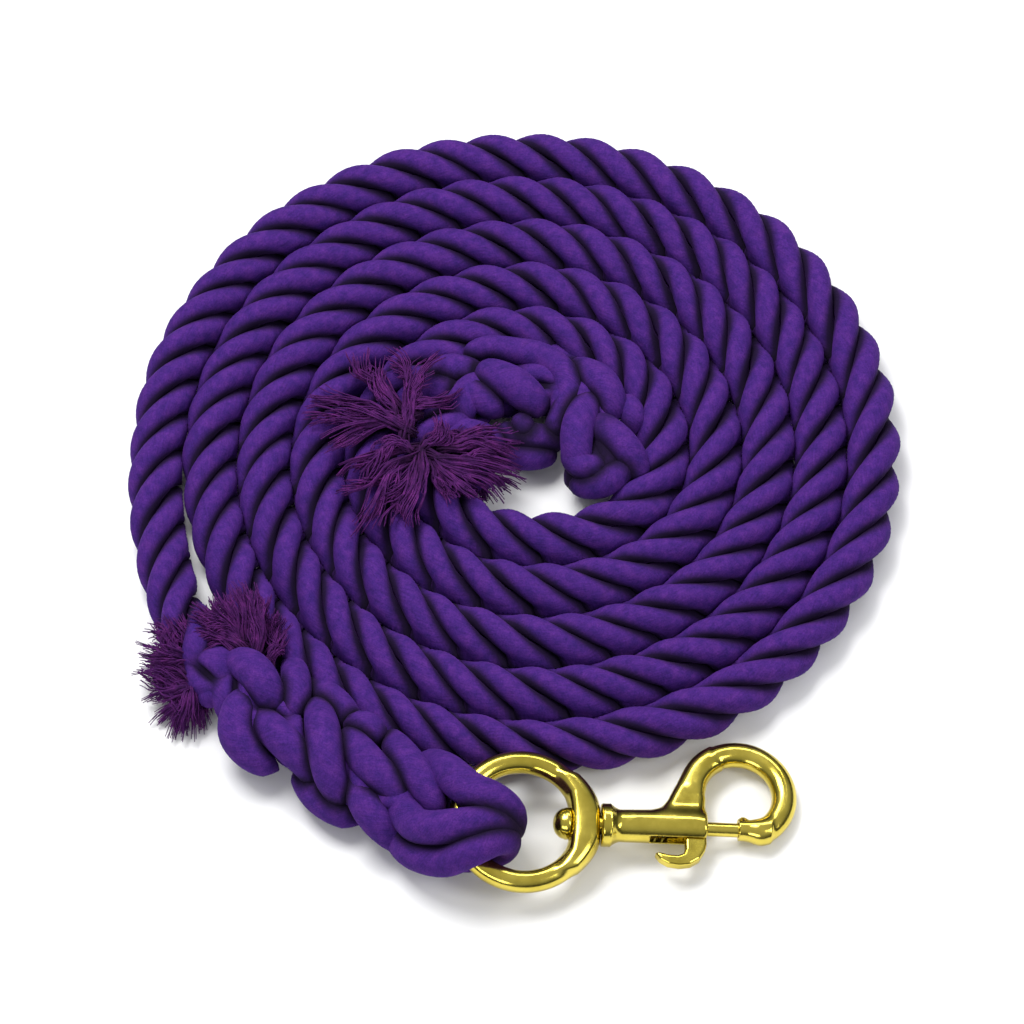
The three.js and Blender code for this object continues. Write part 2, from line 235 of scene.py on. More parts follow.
def tube_mesh(name, tubes):
    """One mesh of closed tubes. Each is (rings of points, distances along, painted shade, own number)."""
    vertices, faces, u_values, v_values, painted_shades = [], [], [], [], []
    first = 0
    for rings, along, painted_shade, number in tubes:
        count, sides = rings.shape[:2]
        vertices.append(rings.reshape(-1, 3))
        painted_shades.append(np.broadcast_to(painted_shade, (count, sides)).reshape(-1))
        index = first + np.arange(count * sides).reshape(count, sides)
        after = np.roll(index, -1, axis=1)
        quads = np.stack([index[:-1], after[:-1], after[1:], index[1:]], -1).reshape(-1, 4)
        faces.append(quads)
        corner = np.arange(sides) / sides - 0.5
        girth = np.linalg.norm(rings - np.roll(rings, -1, axis=1), axis=2).sum(1)[:, None]
        u = corner[None] * girth.mean() + number
        u_next = u + girth.mean() / sides
        v = np.broadcast_to(np.asarray(along)[:, None], (count, sides))
        u = np.broadcast_to(u, (count, sides))
        u_next = np.broadcast_to(u_next, (count, sides))
        u_values.append(np.stack([u[:-1], u_next[:-1], u_next[1:], u[1:]], -1).reshape(-1))
        v_values.append(np.stack([v[:-1], v[:-1], v[1:], v[1:]], -1).reshape(-1))
        first += count * sides
    quads = np.concatenate(faces)
    ends = []
    start = 0
    for rings, _, _, _ in tubes:
        count, sides = rings.shape[:2]
        ends.append(list(range(start + sides - 1, start - 1, -1)))
        ends.append(list(range(start + (count - 1) * sides, start + count * sides)))
        start += count * sides
    mesh = bpy.data.meshes.new(name)
    mesh.from_pydata(np.concatenate(vertices).tolist(), [], quads.tolist() + ends)
    uv = mesh.uv_layers.new(name="Strand")
    flat = np.zeros((len(mesh.loops), 2), np.float32)
    flat[:len(quads) * 4, 0] = np.concatenate(u_values)
    flat[:len(quads) * 4, 1] = np.concatenate(v_values)
    uv.data.foreach_set("uv", flat.ravel())
    # The painted shade of each point, which the cotton material mixes into its colour.
    depth = mesh.attributes.new("painted_shade", "FLOAT", "POINT")
    depth.data.foreach_set("value", np.concatenate(painted_shades).astype(np.float32))
    mesh.polygons.foreach_set("use_smooth", [True] * len(mesh.polygons))
    mesh.update()
    return mesh


around = (np.arange(ring_sides) / ring_sides - 0.5) * 2 * math.pi
# Painted shade on each strand's sides, where it meets the next: it starts this far round from the crest and
# is full this much farther on.
crease_shade_starts, crease_shade_fades = math.radians(54), math.radians(44)  # from a strand's crest
rope_crease_shade = smooth((np.abs(around) - crease_shade_starts) / crease_shade_fades)[None]
pressed = strand_section(around, strand_offset, strand_radius)

# Where turns lie side by side, the cotton is pressed flat and fills the hollows under its middle.
hollow_top, hollow_bottom = 12, 65  # degrees above and below the rope's middle
hollow_depth = 0.0046  # nothing nearer than this to the rope's axis is moved
from_middle = rope_line - coil_middle
rope_turn = np.unwrap(np.arctan2(from_middle[:, 1], -from_middle[:, 0])) / (2 * math.pi)
half_pitch = (coil_pitch - np.array([[lean_at(turn)] for turn in rope_turn])) / 2 + 0.0001
turn_inside = smooth((rope_turn + 0.1) / 0.05) * smooth((coil_turns - 0.9 - rope_turn) / 0.05)
turn_outside = smooth((rope_turn - 1) / 0.05) * smooth((coil_turns + 0.05 - rope_turn) / 0.05)


def pressed_sides(rings):
    from_axis = rings - rope_line[:, None]
    out = (from_axis * rope_out[:, None]).sum(2)
    up = (from_axis * rope_up[:, None]).sum(2)
    beside = np.where(out > 0, turn_outside[:, None], turn_inside[:, None])
    away = np.hypot(out, up)
    below = np.degrees(np.arctan2(-up, np.abs(out)))
    low = smooth((below + hollow_top) / 15) * smooth((hollow_bottom - below) / 20)
    low = low * smooth((away - hollow_depth) / 0.0012)
    grown = 1 + beside * low * np.maximum(0, half_pitch - away) / np.maximum(away, 0.001)
    out, up = out * grown, up * grown
    limit = half_pitch + 0.002 * (1 - beside)
    out = np.clip(out, -limit, limit)
    rings = rope_line[:, None] + out[..., None] * rope_out[:, None] + up[..., None] * rope_up[:, None]
    rings[..., 2] = np.maximum(rings[..., 2], floor_gap)
    return rings


# Painted shade between a splice's strands: it starts this near the splice's axis and is full this much
# nearer.
splice_shade_starts, splice_shade_fades = 0.0099, 0.0026


def splice_crease_shade(rings, middle):
    """Painted shade between a splice's strands, which is where the surface lies near its middle."""
    away = np.linalg.norm(rings - middle[:, None], axis=2)
    return smooth((splice_shade_starts - away) / splice_shade_fades)


def rope_strand(number):
    """The rings of one of the rope's own strands, over its whole length."""
    own_turn = 2 * math.pi * number / strand_count
    swell = 0.00016 * np.sin(rope_along / 0.043 + 2.1 * number)
    swell = swell + 0.0001 * np.sin(rope_along / 0.017 + number)
    angle = own_angle(rope_along) + own_turn + 0.06 * np.sin(rope_along / 0.071 + 1.3 * number)
    open_share = np.maximum(eye_share, back_share)[:, None]
    swung = eye_share * swing(rope_along, eye_tuck_angle) + back_share * swing(rope_along, back_tuck_angle)
    offset = strand_offset + open_share[:, 0] * (splice_offset - strand_offset) + swung
    outwards = np.cos(angle)[:, None] * rope_out + np.sin(angle)[:, None] * rope_up
    sideways = -np.sin(angle)[:, None] * rope_out + np.cos(angle)[:, None] * rope_up
    middle = rope_line + offset[:, None] * outwards
    reach = pressed[None] + swell[:, None]
    high = (1 - open_share) * reach * np.cos(around) + open_share * own_high * np.cos(around)
    wide = (1 - open_share) * reach * np.sin(around) + open_share * own_wide * np.sin(around)
    rings = middle[:, None] + high[..., None] * outwards[:, None] + wide[..., None] * sideways[:, None]
    rings = pressed_sides(rings)
    # Painted shade in the creases: by angle round the rope's strands, and by nearness to the axis in the
    # splices.
    painted_shade = (1 - open_share) * rope_crease_shade + open_share * splice_crease_shade(rings, rope_line)
    return rings, rope_along, painted_shade, 0.1 * number


def feed(tree, value, target):
    """Joins a socket to an input, or sets the input to a plain value."""
    if isinstance(value, bpy.types.NodeSocket):
        tree.links.new(value, target)
    else:
        target.default_value = value


def math_node(tree, operation, *values):
    node = tree.nodes.new("ShaderNodeMath")
    node.operation = operation
    for value, target in zip(values, node.inputs):
        feed(tree, value, target)
    return node.outputs[0]


def noise(tree, vector, scale, detail, roughness=0.5):
    node = tree.nodes.new("ShaderNodeTexNoise")
    for name, value in (("Vector", vector), ("Scale", scale), ("Detail", detail), ("Roughness", roughness)):
        feed(tree, value, node.inputs[name])
    return node.outputs["Fac"]


def bumped(tree, height, strength, distance, normal=None):
    node = tree.nodes.new("ShaderNodeBump")
    for name, value in (("Strength", strength), ("Distance", distance), ("Height", height)):
        feed(tree, value, node.inputs[name])
    if normal:
        feed(tree, normal, node.inputs["Normal"])
    return node.outputs["Normal"]


def yarn_group():
    """Cotton yarns along a strand: their relief, a mask for each yarn's shade, and soft fibre."""
    group = bpy.data.node_groups.new("cotton yarns", "ShaderNodeTree")
    side = group.interface
    for name in ("Yarns per metre", "Slant"):
        side.new_socket(name, in_out="INPUT", socket_type="NodeSocketFloat")
    for name in ("Relief", "Shade", "Fibre"):
        side.new_socket(name, in_out="OUTPUT", socket_type="NodeSocketFloat")
    given = group.nodes.new("NodeGroupInput")
    put_out = group.nodes.new("NodeGroupOutput")
    pin = group.nodes.new("ShaderNodeUVMap")
    pin.uv_map = "Strand"
    split = group.nodes.new("ShaderNodeSeparateXYZ")
    feed(group, pin.outputs["UV"], split.inputs[0])
    girthwise, lengthwise = split.outputs["X"], split.outputs["Y"]
    slanted = math_node(group, "MULTIPLY_ADD", lengthwise, given.outputs["Slant"], girthwise)
    joined_up = group.nodes.new("ShaderNodeCombineXYZ")
    across = math_node(group, "MULTIPLY", slanted, given.outputs["Yarns per metre"])
    feed(group, across, joined_up.inputs["X"])
    feed(group, math_node(group, "MULTIPLY", lengthwise, 170), joined_up.inputs["Y"])
    here = group.nodes.new("ShaderNodeTexCoord").outputs["Object"]
    feed(group, noise(group, joined_up.outputs[0], 1.0, 2.0), put_out.inputs["Relief"])
    feed(group, noise(group, here, 260.0, 3.0, 0.6), put_out.inputs["Shade"])
    feed(group, noise(group, here, 1500.0, 3.0, 0.65), put_out.inputs["Fibre"])
    return group


cotton_yarns = yarn_group()


def ramp(tree, source, stops):
    node = tree.nodes.new("ShaderNodeValToRGB")
    elements = node.color_ramp.elements
    while len(elements) < len(stops):
        elements.new(0.5)
    for element, (position, color) in zip(elements, stops):
        element.position = position
        element.color = (*color, 1)
    tree.links.new(source, node.inputs["Fac"])
    return node.outputs["Color"]


def blended(tree, mode, factor, first, second):
    node = tree.nodes.new("ShaderNodeMix")
    node.data_type = "RGBA"
    node.blend_type = mode
    for socket, value in (("Factor", factor), ("A", first), ("B", second)):
        feed(tree, value, next(s for s in node.inputs if s.name == socket and s.enabled))
    return next(s for s in node.outputs if s.enabled)


def new_material(name, values):
    """A material, its nodes, and its shader with these plain values."""
    material = bpy.data.materials.new(name)
    material.use_nodes = True
    shader = material.node_tree.nodes["Principled BSDF"]
    for socket, value in values.items():
        shader.inputs[socket].default_value = value
    return material, material.node_tree, shader


def cotton_material(name, dark, middle, light, painted_shade_color, yarns, relief):
    """Dyed cotton: yarns of slightly different shades, fuzzy fibre, painted shade and light on the yarns'
    relief, and painted shade between the strands.
    """
    material, tree, shader = new_material(name, {
        "Roughness": 0.92, "Specular IOR Level": 0.15, "Sheen Weight": 0.35, "Sheen Roughness": 0.45,
        "Sheen Tint": (*light, 1),
    })
    group = tree.nodes.new("ShaderNodeGroup")
    group.node_tree = cotton_yarns
    group.inputs["Yarns per metre"].default_value = yarns
    group.inputs["Slant"].default_value = 1.2
    color = ramp(tree, group.outputs["Shade"], [(0.3, dark), (0.5, middle), (0.72, light)])
    speck = ramp(tree, group.outputs["Fibre"], [(0.3, (0.60, 0.62, 0.68)), (0.75, (1.40, 1.3, 1.25))])
    color = blended(tree, "MULTIPLY", 0.8, color, speck)
    # Painted shade in the furrows between yarns, where the relief is low, and a little painted light on their
    # crests.
    furrow_shade = ramp(tree, group.outputs["Relief"], [(0.3, (0.78, 0.78, 0.78)), (0.6, (1.08, 1.08, 1.08))])
    color = blended(tree, "MULTIPLY", 0.7, color, furrow_shade)
    # Painted shade: the colour is mixed towards a near-black one by the shade stored on each point, in the
    # creases between strands and towards the frayed fibres' roots.
    depth = tree.nodes.new("ShaderNodeAttribute")
    depth.attribute_name = "painted_shade"
    color = blended(tree, "MIX", depth.outputs["Fac"], color, (*painted_shade_color, 1))
    tree.links.new(color, shader.inputs["Base Color"])
    coarse = bumped(tree, group.outputs["Relief"], relief, 0.0006)
    fine = bumped(tree, group.outputs["Fibre"], 0.5, 0.0002, coarse)
    tree.links.new(fine, shader.inputs["Normal"])
    return material


cotton = cotton_material(
    "purple cotton",
    dark=(0.033, 0.010, 0.126), middle=(0.051, 0.013, 0.156), light=(0.074, 0.018, 0.181),
    painted_shade_color=(0.006, 0.002, 0.014), yarns=1500.0, relief=0.25,
)


def rope_piece(name, tubes, material, slot, *nodes):
    """A piece that stays with the rope and stands for these parts of it."""
    piece = add_object(name, tube_mesh(name, tubes))
    piece.data.materials.append(material)
    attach(piece, "rope")
    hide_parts(*nodes)
    return piece


own_strands = [rope_strand(number) for number in range(strand_count)]
rope = rope_piece("lead_rope", own_strands, cotton, "cotton",
                  "rope_coil", "rope_lead", "eye_splice", "back_splice")


# ---- The eye splice's tucked strands ---------------------------------
# The rope's three strands, opened at its end, have gone round the bar of the swivel eye and come
# back. Each is tucked over one strand of the rope and under the next, and swells where it is on top.

end_length = 0.004  # over which a tucked strand closes at its ends
least_end = 0.02


def tucked_strand(number, along, tuck_angle):
    """A strand that follows the rope's axis at its own angle and distance from it."""
    angle = tuck_angle(along) + 2 * math.pi * number / strand_count
    offset = splice_offset - swing(along, tuck_angle)
    axis, out, up = [
        np.stack([np.interp(along, rope_along, line[:, k]) for k in range(3)], 1)
        for line in (rope_line, rope_out, rope_up)
    ]
    outwards = np.cos(angle)[:, None] * unit(out) + np.sin(angle)[:, None] * unit(up)
    sideways = -np.sin(angle)[:, None] * unit(out) + np.cos(angle)[:, None] * unit(up)
    middle = axis + offset[:, None] * outwards
    left = np.minimum(along - along[0], along[-1] - along)
    ends = np.sqrt(np.clip(left / end_length, least_end, 1))[:, None]
    rings = middle[:, None] + (tuck_high * ends * np.cos(around))[..., None] * outwards[:, None]
    rings = rings + (tuck_wide * ends * np.sin(around))[..., None] * sideways[:, None]
    return rings, along, splice_crease_shade(rings, axis), 0.4 + 0.1 * number


tuck_stagger = 0.006  # each strand ends this much before the last, so that the splice thins out
eye_tucks = []
for number in range(strand_count):
    along = np.arange(0, eye_splice_length - tuck_stagger * number, ring_step)
    eye_tucks.append(tucked_strand(number, along, eye_tuck_angle))


def free_strand(points, radius, number, taper=0.0):
    """A round strand along given points, with closed, rounded ends, and thickest midway."""
    line = smooth_line(points, ring_step) + coil_middle
    along = np.arange(len(line)) * ring_step
    ahead = unit(np.gradient(line, axis=0))
    side = [unit(np.cross(ahead[0], [0, 1, 0.3]))]
    for direction in ahead[1:]:
        side.append(unit(side[-1] - direction * (side[-1] @ direction)))
    side = np.array(side)
    other = np.cross(ahead, side)
    ends = np.sqrt(np.clip(np.minimum(along, along[-1] - along) / (0.8 * radius), least_end, 1))
    ends = ends * (1 - taper + taper * np.sin(math.pi * along / along[-1]) ** 0.8)
    reach = (radius * ends)[:, None]
    rings = line[:, None] + (reach * np.cos(around))[..., None] * side[:, None]
    rings = rings + (reach * np.sin(around))[..., None] * other[:, None]
    rings[..., 2] = np.maximum(rings[..., 2], floor_gap)
    return rings, along, 0.0, 0.7 + 0.1 * number  # the last shifts each strand's yarn pattern


def with_crevice_shade(strands, reach=0.0040):
    """The same strands, each with painted shade where another one of them touches it."""
    lines = [rings.mean(1) for rings, _, _, _ in strands]
    sizes = []
    for (rings, _, _, _), line in zip(strands, lines):
        sizes.append(np.linalg.norm(rings - line[:, None], axis=2).mean(1))
    creased = []
    for own, (rings, along, _, number) in enumerate(strands):
        points = rings.reshape(-1, 3)
        nearest = np.full(len(points), 1.0)
        for other, (line, size) in enumerate(zip(lines, sizes)):
            if other != own:
                away = np.linalg.norm(points[:, None] - line[None], axis=2) - size
                nearest = np.minimum(nearest, away.min(1))
        painted_shade = smooth(1.08 - nearest / reach).reshape(rings.shape[:2])
        creased.append((rings, along, painted_shade, number))
    return creased


def free_strands(routes, taper=0.0):
    """Strands along routes given as a radius and points, in millimetres."""
    return [
        free_strand(np.array(points) * mm, radius * mm, number, taper)
        for number, (radius, points) in enumerate(routes)
    ]


# Where each strand comes out of the splice, swells over the one beside it and goes in again.
eye_lumps = [
    (6.8, [(-106, -92, 12), (-103, -93, 19), (-98, -98, 22), (-93, -106, 20), (-90, -112, 12)]),
    (5, [(-117, -101, 6), (-113, -102, 12), (-109, -99, 13), (-106, -90, 8)]),
    (6.4, [(-100, -102, 12), (-103.5, -111, 18), (-104, -121, 17), (-98, -128, 13), (-89, -130, 7)]),
    (5.6, [(-86, -86, 10), (-83.5, -96, 16), (-83, -106, 18), (-85, -113, 14), (-89, -115.5, 9)]),
    (6.2, [(-96, -106, 10), (-93, -117, 17), (-86, -126.5, 20), (-79, -133, 16), (-74, -138, 8)]),
    (6.6, [(-76.5, -105, 12), (-74, -117, 20), (-72, -130.5, 22.5), (-70, -140.5, 19),
          (-65, -147, 10)]),
    (5.8, [(-83, -129, 7), (-77, -139.5, 9), (-70, -147, 10), (-60, -152, 7)]),
    (5.5, [(-79, -95, 8), (-74, -102, 14), (-68.5, -108, 16), (-62, -116, 13), (-58, -121, 8)]),
    (5.5, [(-64, -120, 12), (-60.5, -118, 18), (-56, -120.5, 19), (-52.5, -126, 14)]),
    (6.4, [(-65, -118.5, 14), (-62, -127, 20), (-55, -138, 22.5), (-47, -145, 19), (-42.5, -149, 10)]),
    (6.1, [(-64, -134.5, 9), (-60.5, -142.5, 15), (-55.5, -153, 16), (-49, -159, 11), (-44, -161, 6)]),
    (6.1, [(-50, -118.5, 12), (-46, -129.5, 20), (-40, -140.5, 23.5), (-34.5, -149.5, 21.5),
          (-31.5, -156, 17)]),
    (5.6, [(-42, -130, 12), (-35, -138.5, 14.5), (-32.5, -147, 13), (-36, -155, 11)]),
]
eye_tucks += with_crevice_shade(free_strands(eye_lumps, taper=0.50))
eye_splice = rope_piece("eye_splice_tucks", eye_tucks, cotton, "cotton", "eye_splice")


# ---- The bight round the swivel eye ----------------------------------
# The same three strands, side by side and pressed together, where they go under the bar of the
# swivel eye, up through the eye, and back over the bar into the splice.

bight_routes = [
    (6.7, [(-38, -131, 10), (-33.5, -134, 16), (-28.5, -140.5, 23.5), (-20.5, -150, 28),
          (-12.5, -154, 27.5), (-7.8, -156, 22), (-8.5, -157, 13), (-14, -156, 7.5),
          (-24, -153, 6.5), (-34, -150, 6.5), (-50, -143, 7.5)]),
    (6.2, [(-46, -147, 10), (-44, -152, 16.5), (-40, -160, 21), (-34, -163, 24.5),
          (-28, -163.5, 26.5), (-19.5, -163, 27.5), (-12.5, -161, 25), (-8.5, -160, 17.5),
          (-12, -160.5, 9), (-22, -160, 6.2), (-36, -156, 6.2), (-52, -149, 7.5)]),
    (5.6, [(-52, -150, 8), (-46, -159, 9.5), (-41, -167, 13), (-30, -173, 18),
          (-20.5, -172.5, 24.5), (-12.5, -168, 24), (-8.5, -164.5, 18), (-10.5, -164, 10),
          (-24, -164.5, 6), (-38, -160, 6), (-54, -152, 7.5)]),
]
bight_strands = with_crevice_shade(free_strands(bight_routes))
bight = rope_piece("eye_bight_strands", bight_strands, cotton, "cotton", "eye_bight")


# ---- The back splice's tucked strands --------------------------------
# At the rope's other end the strands are turned back by the crown knot and tucked in the same way.

back_tucks = []
for number in range(strand_count):
    along = np.arange(rope_length - back_splice_length + tuck_stagger * number, rope_length, ring_step)
    back_tucks.append(tucked_strand(number, along, back_tuck_angle))
back_lumps = [
    (5.2, [(-24, 40, 12), (-17, 42, 17), (-4, 39, 19.5), (5, 36.5, 19.5), (13, 29.5, 19),
          (14.5, 21, 18), (10, 10, 15), (7.5, 5, 9)]),
    (6.8, [(-18, 34, 14), (-11.5, 27, 20.5), (-5, 23, 21), (1.5, 18, 18), (3.5, 16.5, 11)]),
    (5.6, [(-27, 28, 12), (-18, 20, 18), (-9.5, 14.5, 13)]),
    (5.8, [(-13, 11, 8), (-4, 7, 11.5), (6, 6, 11.5), (14, 8, 8)]),
    (4.3, [(-4, 14, 13), (-2, 9, 15.5), (-1, 5, 11)]),
    (5.2, [(2, 45, 6), (10, 43, 9), (18, 39, 9), (24, 34, 6)]),
    (5, [(-14, 3, 6), (-5, 0, 9), (4, 0, 9), (10, 4, 6)]),
    (6, [(-38, 28, 10), (-31, 34, 14), (-22, 33, 14), (-14, 29, 10)]),
    (6.6, [(-50, 18, 8), (-41, 25, 12), (-32, 27, 12), (-23, 23, 9)]),
    (6.4, [(-36, 10, 8), (-27, 7, 13), (-17, 5, 13), (-8, 1, 8)]),
    (6, [(-32, -8, 7), (-22, -10, 11), (-12, -10, 8)]),
    (6, [(15, 36, 12), (20.5, 31.5, 17), (27.5, 24, 20), (30.5, 16.5, 17.5), (28.5, 13, 12)]),
    (6.2, [(23, 22, 14), (20, 13.5, 19), (17.5, 3, 20.5), (17.5, -5.5, 18.5), (19, -9, 12)]),
]
back_tucks += with_crevice_shade(free_strands(back_lumps, taper=0.35))
back_splice = rope_piece("back_splice_tucks", back_tucks, cotton, "cotton", "back_splice")


# ---- The crown knot --------------------------------------------------
# Each strand leaves the end of the rope, passes over its neighbour and turns back down the side.

crown_middle = np.array([0.0225, -0.004, 0.0132])
crown_ahead = np.array([-0.087, -0.996, 0.0])
crown_out = np.array([0.996, -0.087, 0.0])
crown_up = np.array([0.0, 0.0, 1.0])
crown_radius = 0.0050
# distance ahead, distance from the axis, and angle round it
crown_course = [
    (-0.012, 0.003, 0), (-0.003, 0.0035, 5), (0.0040, 0.0040, 25), (0.0068, 0.0052, 75),
    (0.0040, 0.0068, 118), (-0.004, 0.0070, 135), (-0.014, 0.0066, 140),
]
crown_phase = 20
crown_strands = []
for number in range(strand_count):
    course = []
    for ahead, away, turn in crown_course:
        angle = math.radians(turn + crown_phase + 360 * number / strand_count)
        place = crown_middle + ahead * crown_ahead
        place = place + away * (math.cos(angle) * crown_out + math.sin(angle) * crown_up)
        course.append(tuple(place))
    crown_strands.append(free_strand(course, crown_radius, number))
crown_lumps = [
    (6.2, [(24, 12, 14), (29, 4, 19.5), (34, -2, 19.5), (38.5, -7.5, 15.5), (39.5, -12, 9)]),
    (4.8, [(34, 23, 11), (37.5, 14.5, 16), (38.5, 7, 13)]),
    (5.6, [(15.5, -10, 10), (20.5, -14.5, 13), (27, -15, 15.5), (33, -10.5, 15.5), (35, -6, 11)]),
]
crown_strands += free_strands(crown_lumps, taper=0.35)
crown = rope_piece("crown_knot_strands", with_crevice_shade(crown_strands), cotton, "cotton", "crown_knot")


# ---- The frayed strand ends ------------------------------------------
# Past its last tuck each strand is left loose: its yarns open into a brush of redder cotton fibre.

frayed_cotton = cotton_material(
    "frayed cotton",
    dark=(0.034, 0.005, 0.060), middle=(0.064, 0.010, 0.095), light=(0.120, 0.018, 0.150),
    painted_shade_color=(0.006, 0.001, 0.010), yarns=2500.0, relief=0.2,
)
fibre_sides = 5
fibre_rings = 10
fibres_in_yarn = 3
draws = np.random.default_rng(7)


def tuft(name, node, bundles, yarns, spread, curl, thickness, floor):
    """Bundles of wavy yarns, each from its root towards its tip, of fibres that part on the way."""
    corners = np.arange(fibre_sides) / fibre_sides * 2 * math.pi
    share = np.linspace(0, 1, fibre_rings)[:, None]
    tubes = []
    for root, tip in bundles:
        bundle_root = np.array(root) * mm + coil_middle + spread * draws.normal(size=3) * (1, 1, 0.3)
        bundle_bend = 0.7 * spread * draws.normal(size=3)
        bundle_wave = draws.uniform(0, 6.28, 3)
        for yarn in range(yarns):
            start = bundle_root + 0.25 * spread * draws.normal(size=3)
            end = np.array(tip) * mm + coil_middle + 0.6 * spread * draws.normal(size=3) * (1, 1, 0.5)
            end = start + (end - start) * draws.uniform(0.62, 1.05)
            bend = (start + end) / 2 + bundle_bend + 0.3 * spread * draws.normal(size=3)
            bend[2] += 0.12 * np.linalg.norm(end - start)
            wave = bundle_wave + 0.5 * draws.normal(size=3)
            for fibre in range(fibres_in_yarn):
                part = 0.25 * spread * draws.normal(size=3)
                line = (1 - share) ** 2 * start + 2 * share * (1 - share) * bend + share ** 2 * (end + part)
                line = line + curl * share * np.sin(9 * share + wave)
                line[:, 2] = np.maximum(line[:, 2], floor + thickness)
                ahead = unit(np.gradient(line, axis=0))
                across = unit(np.cross(ahead, unit(np.array([0.3, 0.2, 1.0]))))
                over = np.cross(ahead, across)
                radius = thickness * (1 - 0.6 * share ** 2)
                rings = line[:, None] + (radius * np.cos(corners))[..., None] * across[:, None]
                rings = rings + (radius * np.sin(corners))[..., None] * over[:, None]
                # Painted shade towards each fibre's root, where the fibres lie packed, stronger or weaker at
                # random for each fibre.
                dark = 0.95 * smooth(1 - share / 0.65)
                tubes.append((rings, 0.02 * share[:, 0], dark * draws.uniform(0.6, 1), 0.013 * yarn))
    rope_piece(name, tubes, frayed_cotton, "frayed_cotton", node)


def fan(root, *tips):
    """Bundles from one root to each of these tips, in millimetres."""
    return [(root, tip) for tip in tips]


side_brush = fan(
    (-118, -96, 8), (-137.5, -90, 6), (-135.5, -99.5, 4), (-131, -107, 3), (-125.5, -112.5, 2),
    (-118, -110, 2), (-133, -98, 10), (-127, -105, 8), (-122, -108, 8), (-133, -93, 14),
) + fan(
    (-119, -87.5, 12), (-137.5, -83, 9), (-134.5, -76, 14), (-128, -73.5, 18), (-134, -86, 16),
    (-137.5, -88, 10), (-130, -80, 19),
)
tuft("eye_splice_fray_1", "eye_splice_end_1", side_brush,
     yarns=34, spread=0.0034, curl=0.0008, thickness=0.00034, floor=0.0)
tuft("eye_splice_fray_2", "eye_splice_end_2", fan(
    (-100, -89, 16), (-120, -83, 19), (-119, -78, 21), (-118, -73.5, 22), (-114.5, -70.5, 24),
    (-109, -68.5, 26), (-103, -67, 27), (-115, -77, 26),
), yarns=36, spread=0.0030, curl=0.0008, thickness=0.00034, floor=0.0165)
tuft("eye_splice_fray_3", "eye_splice_end_3", fan(
    (-96, -90, 17), (-98, -69, 27), (-94, -72, 27), (-90.5, -77, 26), (-88, -82, 24),
    (-89, -87, 23), (-97, -74, 29),
), yarns=36, spread=0.0028, curl=0.0008, thickness=0.00034, floor=0.0165)
tuft("back_splice_fray_1", "back_splice_end_1", fan(
    (-43, 4, 20), (-79, 9, 21.5), (-76.5, 20.5, 21.5), (-64, 35, 22), (-56, 29, 24), (-50, 37, 22),
    (-34, 39, 24), (-70, -2, 22), (-71, 15, 25), (-26, 16.5, 25), (-42, 24, 26),
), yarns=15, spread=0.0033, curl=0.0017, thickness=0.00040, floor=0.0185)
tuft("back_splice_fray_2", "back_splice_end_2", fan(
    (-39, -6, 21), (-68, -14, 21.5), (-65, -25, 21.5), (-59, -35.5, 21.5), (-51, -40, 21.5),
    (-43, -37.5, 21.5), (-60, -18, 25), (-50, -28, 24), (-56, -4, 25), (-30, 4, 25),
), yarns=15, spread=0.0030, curl=0.0017, thickness=0.00040, floor=0.0185)
tuft("back_splice_fray_3", "back_splice_end_3", fan(
    (-36, -7, 21), (-10, 5, 23), (-5, -3, 19), (-5, -12, 17), (-9.5, -19.5, 17), (-18.5, -27, 20),
    (-28.5, -26.5, 22), (-13, -8, 22), (-18, 4, 20), (-16, -16, 18),
) + fan(
    (-30, -6, 14), (-7, -4, 9), (-8, -12, 7), (-12, -19, 8), (-9, 3, 11), (-18, -22, 12),
), yarns=16, spread=0.0028, curl=0.0015, thickness=0.00040, floor=0.0010)


# ---- The bolt snap ---------------------------------------------------
# A cast and turned brass snap: its parts are named below. Each is given as a field of distances to
# its surface, which is rounded and blended as a casting is, and then meshed.

swivel = next(joint for joint in frame["joints"] if joint["name"] == "swivel")
hub_place = Vector(swivel["pos_m"])
snap_ahead = Vector(swivel["axis"]).normalized()
snap_side = Vector((0, 0, 1)).cross(snap_ahead).normalized()
snap_up = snap_ahead.cross(snap_side)
snap_matrix = Matrix((snap_ahead, snap_side, snap_up)).transposed().to_4x4()
snap_matrix.translation = hub_place
eye_roll = math.radians(10)
eye_matrix = snap_matrix @ Matrix.Rotation(eye_roll, 4, "X")


def joined(first, second, round_by):
    """Two fields joined, with a fillet."""
    near = np.clip(0.5 + 0.5 * (second - first) / round_by, 0, 1)
    return second + (first - second) * near - round_by * near * (1 - near)


def cut(first, second, round_by):
    return -joined(-first, second, round_by)


def polygon_field(x, y, outline):
    """Distance to a flat outline, less than nothing inside it."""
    outline = np.asarray(outline, float)
    nearest = np.full(np.broadcast(x, y).shape, 1e9)
    inside = np.ones_like(nearest)
    for (ax, ay), (bx, by) in zip(outline, np.roll(outline, 1, axis=0)):
        ex, ey = bx - ax, by - ay
        wx, wy = x - ax, y - ay
        share = np.clip((wx * ex + wy * ey) / (ex * ex + ey * ey), 0, 1)
        nearest = np.minimum(nearest, (wx - ex * share) ** 2 + (wy - ey * share) ** 2)
        upper = y >= ay
        lower = y < by
        left = ex * wy > ey * wx
        flip = (upper & lower & left) | (~upper & ~lower & ~left)
        inside = np.where(flip, -inside, inside)
    return inside * np.sqrt(nearest)


def plate_field(flat, z, thickness, round_by):
    """A flat outline made thick, with rounded edges."""
    across = flat + round_by
    depth = np.abs(z) - thickness / 2 + round_by
    outside = np.sqrt(np.maximum(across, 0) ** 2 + np.maximum(depth, 0) ** 2)
    return outside + np.minimum(np.maximum(across, depth), 0) - round_by


